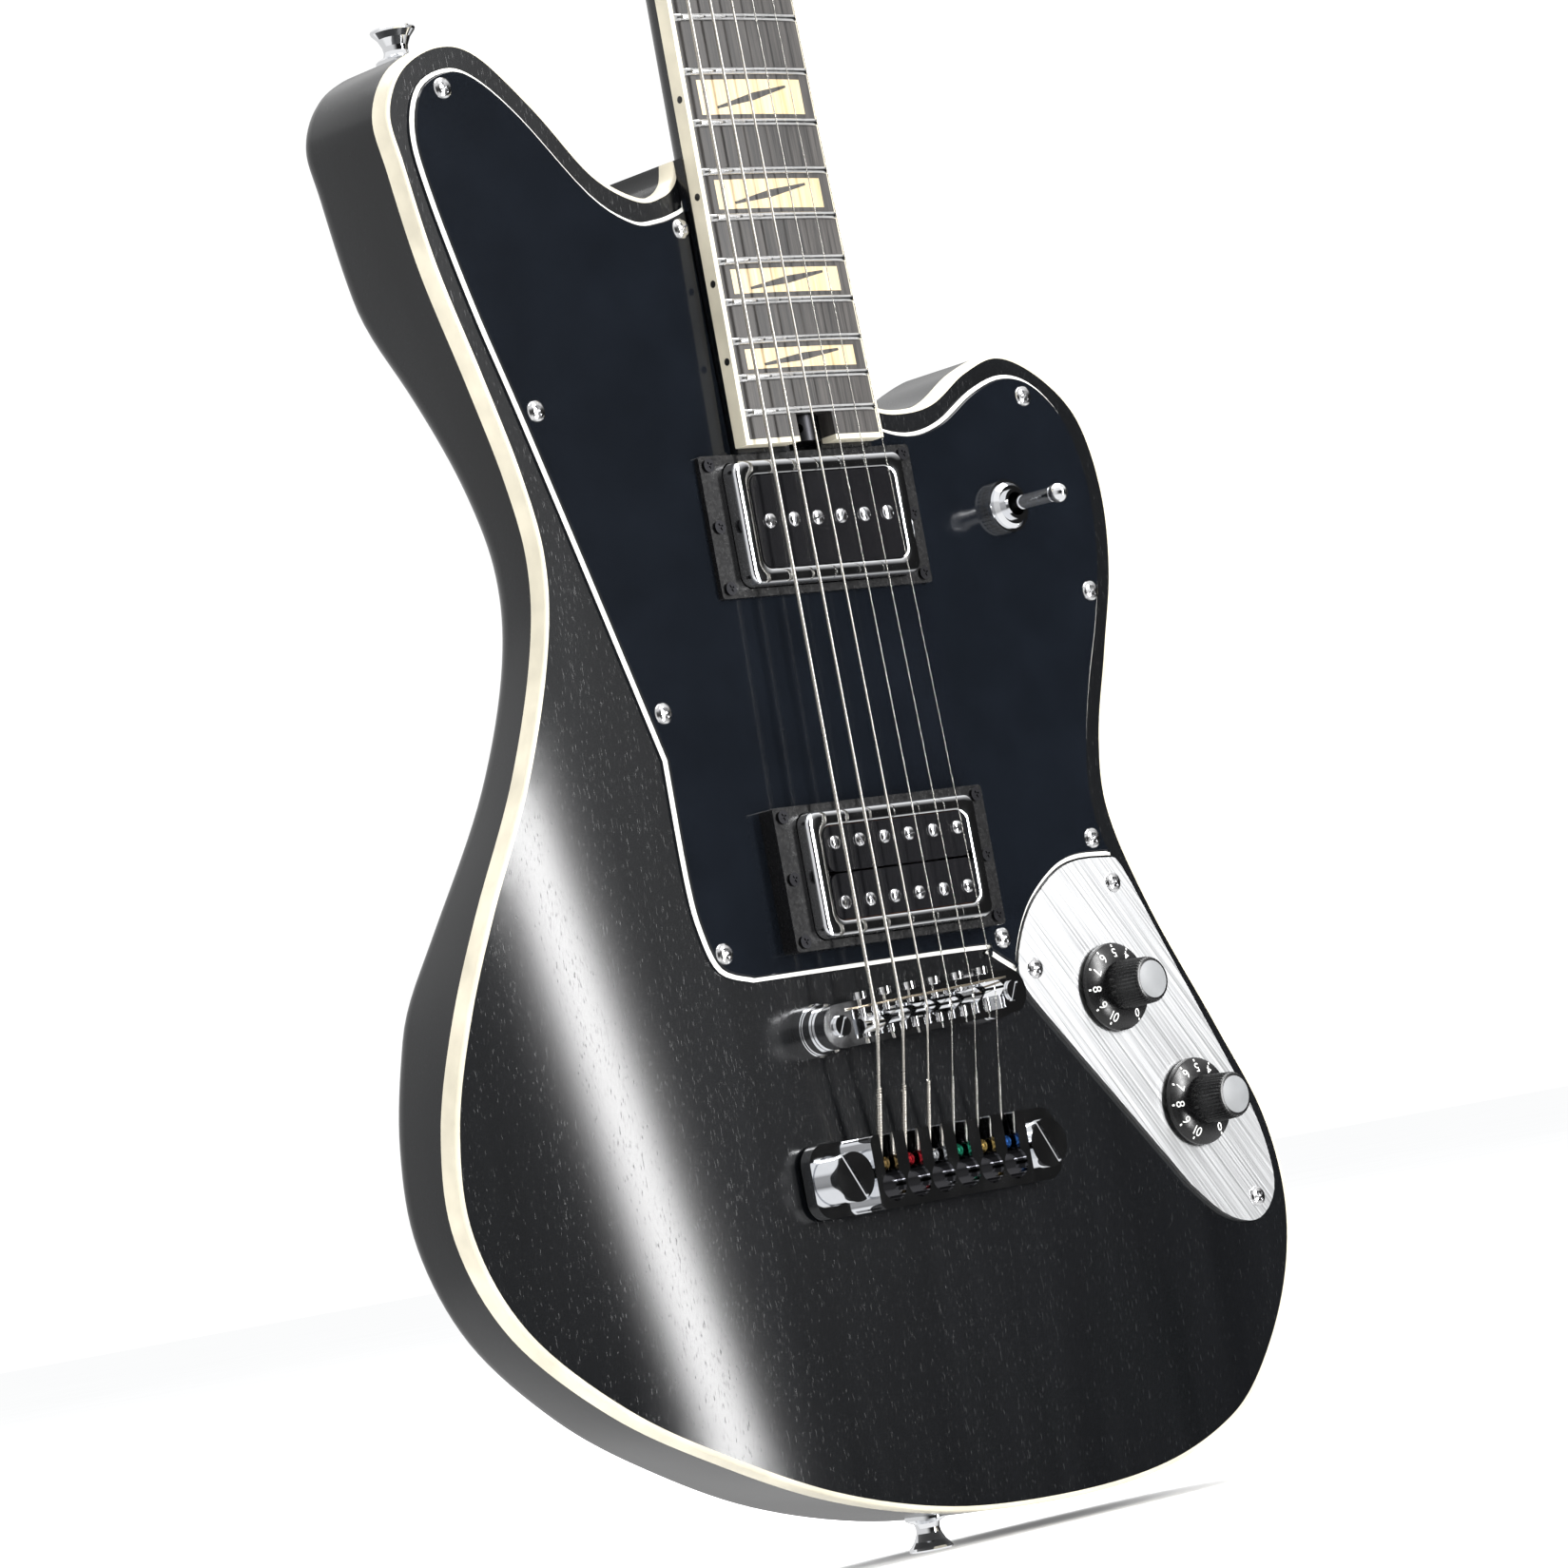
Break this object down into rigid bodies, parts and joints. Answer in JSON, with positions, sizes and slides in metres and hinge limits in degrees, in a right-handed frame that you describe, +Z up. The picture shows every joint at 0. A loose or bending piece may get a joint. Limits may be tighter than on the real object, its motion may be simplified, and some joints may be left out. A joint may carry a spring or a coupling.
{
  "type": "electric guitar",
  "caption": "Solid-body electric guitar with an offset double-cutaway body, bolt-on bound neck, two framed pickups, post bridge, quick-change tailpiece and geared tuners.",
  "frame": {"origin": "middle of the lower strap button's end face, on the button's axis", "axes": "+Z up the neck, -Y out of the front, +X to the treble side; the centre line of the strings is at x = 5.9 mm"},
  "size_m": [0.3289, 0.0828, 0.979],
  "materials": {
    "black_ash": "satin open-grain black lacquer",
    "cream_binding": "cream, satin gloss",
    "black_maple": "satin black lacquer",
    "dark_board": "bare dark grained wood",
    "fret_wire": "polished nickel silver",
    "pale_inlay": "pale maple",
    "bone": "polished bone",
    "rod_steel": "plain steel",
    "black_steel": "blackened steel",
    "chrome": "polished chrome",
    "screw_steel": "polished nickel",
    "black_guard": "glossy blue-black laminate",
    "white_ply": "white laminate edge",
    "brushed_plate": "long-grain brushed",
    "black_plastic": "satin black",
    "coil_wire": "enamelled copper winding",
    "pole_steel": "bright nickel",
    "magnet": "ground magnet alloy",
    "string_steel": "wound nickel steel",
    "ball_brass": "plated brass",
    "knob_black": "satin black, white numerals",
    "pot_metal": "pressed metal can"
  },
  "bodies": {
    "guitar": {"body": "black_ash", "body_binding": "cream_binding", "neck": "black_maple", "fretboard": "dark_board", "fretboard_binding": "cream_binding", "frets": "fret_wire", "inlays": "pale_inlay", "nut": "bone", "truss_rod": "rod_steel", "truss_wheel": "black_steel", "neck_plate": "chrome", "wood_screws": "screw_steel", "pickguard": "black_guard", "pickguard_white_ply": "white_ply", "plate_screws": "screw_steel", "control_plate": "brushed_plate", "pickup_rings": "black_plastic", "pickup_covers": "chrome", "pickup_bobbins": "black_plastic", "pickup_coils": "coil_wire", "pickup_poles": "pole_steel", "pickup_magnets": "magnet", "pickup_screws": "black_steel", "bridge_base": "chrome", "bridge_posts": "chrome", "stud_bushings": "chrome", "intonation_screws": "pole_steel", "tailpiece": "chrome", "tailpiece_studs": "chrome", "strings": "string_steel", "ball_ends": "ball_brass", "strap_buttons": "chrome", "jack_plate": "chrome", "output_jack": "chrome", "pots": "pot_metal", "toggle_switch": "chrome", "tuner_housings": "chrome"},
    "volume": {"volume_knob": "knob_black", "volume_shaft": "rod_steel"},
    "tone": {"tone_knob": "knob_black", "tone_shaft": "rod_steel"},
    "selector": {"toggle_lever": "chrome"},
    "saddle_body_1": {"saddle_1": "chrome"},
    "saddle_body_2": {"saddle_2": "chrome"},
    "saddle_body_3": {"saddle_3": "chrome"},
    "saddle_body_4": {"saddle_4": "chrome"},
    "saddle_body_5": {"saddle_5": "chrome"},
    "saddle_body_6": {"saddle_6": "chrome"},
    "button_body_1": {"tuner_button_1": "chrome"},
    "post_body_1": {"tuner_post_1": "chrome"},
    "button_body_2": {"tuner_button_2": "chrome"},
    "post_body_2": {"tuner_post_2": "chrome"},
    "button_body_3": {"tuner_button_3": "chrome"},
    "post_body_3": {"tuner_post_3": "chrome"},
    "button_body_4": {"tuner_button_4": "chrome"},
    "post_body_4": {"tuner_post_4": "chrome"},
    "button_body_5": {"tuner_button_5": "chrome"},
    "post_body_5": {"tuner_post_5": "chrome"},
    "button_body_6": {"tuner_button_6": "chrome"},
    "post_body_6": {"tuner_post_6": "chrome"}
  },
  "joints": [
    {"name": "volume_turn", "type": "hinge", "parent": "guitar", "child": "volume", "pos_m": [0.0986, -0.022, 0.1604], "axis": [0, -1, 0], "range_deg": [-140, 140]},
    {"name": "tone_turn", "type": "hinge", "parent": "guitar", "child": "tone", "pos_m": [0.1262, -0.022, 0.1204], "axis": [0, -1, 0], "range_deg": [-140, 140]},
    {"name": "selector_throw", "type": "hinge", "parent": "guitar", "child": "selector", "pos_m": [0.0885, -0.0257, 0.3157], "axis": [0, 0, 1], "range_deg": [-20, 0]},
    {"name": "saddle_slide_1", "type": "slide", "parent": "guitar", "child": "saddle_body_1", "axis": [-0.0384, 0, 0.9993], "range_m": [-0.0011, 0.002]},
    {"name": "saddle_slide_2", "type": "slide", "parent": "guitar", "child": "saddle_body_2", "axis": [-0.0384, 0, 0.9993], "range_m": [-0.002, 0.002]},
    {"name": "saddle_slide_3", "type": "slide", "parent": "guitar", "child": "saddle_body_3", "axis": [-0.0384, 0, 0.9993], "range_m": [-0.0013, 0.0017]},
    {"name": "saddle_slide_4", "type": "slide", "parent": "guitar", "child": "saddle_body_4", "axis": [-0.0384, 0, 0.9993], "range_m": [-0.0015, 0.002]},
    {"name": "saddle_slide_5", "type": "slide", "parent": "guitar", "child": "saddle_body_5", "axis": [-0.0384, 0, 0.9993], "range_m": [-0.0015, 0.0014]},
    {"name": "saddle_slide_6", "type": "slide", "parent": "guitar", "child": "saddle_body_6", "axis": [-0.0384, 0, 0.9993], "range_m": [-0.0014, 0.0005]},
    {"name": "tuner_turn_1", "type": "hinge", "parent": "guitar", "child": "button_body_1", "pos_m": [-0.0201, 0.00759, 0.85194], "axis": [-1, 0, 0], "continuous": true},
    {"name": "tuner_turn_2", "type": "hinge", "parent": "guitar", "child": "button_body_2", "pos_m": [-0.0186, 0.01596, 0.88901], "axis": [-1, 0, 0], "continuous": true},
    {"name": "tuner_turn_3", "type": "hinge", "parent": "guitar", "child": "button_body_3", "pos_m": [-0.0171, 0.02434, 0.92608], "axis": [-1, 0, 0], "continuous": true},
    {"name": "tuner_turn_4", "type": "hinge", "parent": "guitar", "child": "button_body_4", "pos_m": [0.0289, 0.02434, 0.92608], "axis": [1, 0, 0], "continuous": true},
    {"name": "tuner_turn_5", "type": "hinge", "parent": "guitar", "child": "button_body_5", "pos_m": [0.0304, 0.01596, 0.88901], "axis": [1, 0, 0], "continuous": true},
    {"name": "tuner_turn_6", "type": "hinge", "parent": "guitar", "child": "button_body_6", "pos_m": [0.0319, 0.00759, 0.85194], "axis": [1, 0, 0], "continuous": true},
    {"name": "post_turn_1", "type": "hinge", "parent": "guitar", "child": "post_body_1", "pos_m": [-0.0201, -0.01041, 0.86483], "axis": [0, -0.9754, 0.2204], "continuous": true},
    {"name": "post_turn_2", "type": "hinge", "parent": "guitar", "child": "post_body_2", "pos_m": [-0.0186, -0.00204, 0.9019], "axis": [0, -0.9754, 0.2204], "continuous": true},
    {"name": "post_turn_3", "type": "hinge", "parent": "guitar", "child": "post_body_3", "pos_m": [-0.0171, 0.00633, 0.93896], "axis": [0, -0.9754, 0.2204], "continuous": true},
    {"name": "post_turn_4", "type": "hinge", "parent": "guitar", "child": "post_body_4", "pos_m": [0.0289, 0.00633, 0.93896], "axis": [0, -0.9754, 0.2204], "continuous": true},
    {"name": "post_turn_5", "type": "hinge", "parent": "guitar", "child": "post_body_5", "pos_m": [0.0304, -0.00204, 0.9019], "axis": [0, -0.9754, 0.2204], "continuous": true},
    {"name": "post_turn_6", "type": "hinge", "parent": "guitar", "child": "post_body_6", "pos_m": [0.0319, -0.01041, 0.86483], "axis": [0, -0.9754, 0.2204], "continuous": true}
  ],
  "couplings": [
    {"joint": "post_turn_1", "follows": "tuner_turn_1", "ratio": 0.0625},
    {"joint": "post_turn_2", "follows": "tuner_turn_2", "ratio": 0.0625},
    {"joint": "post_turn_3", "follows": "tuner_turn_3", "ratio": 0.0625},
    {"joint": "post_turn_4", "follows": "tuner_turn_4", "ratio": 0.0625},
    {"joint": "post_turn_5", "follows": "tuner_turn_5", "ratio": 0.0625},
    {"joint": "post_turn_6", "follows": "tuner_turn_6", "ratio": 0.0625}
  ]
}
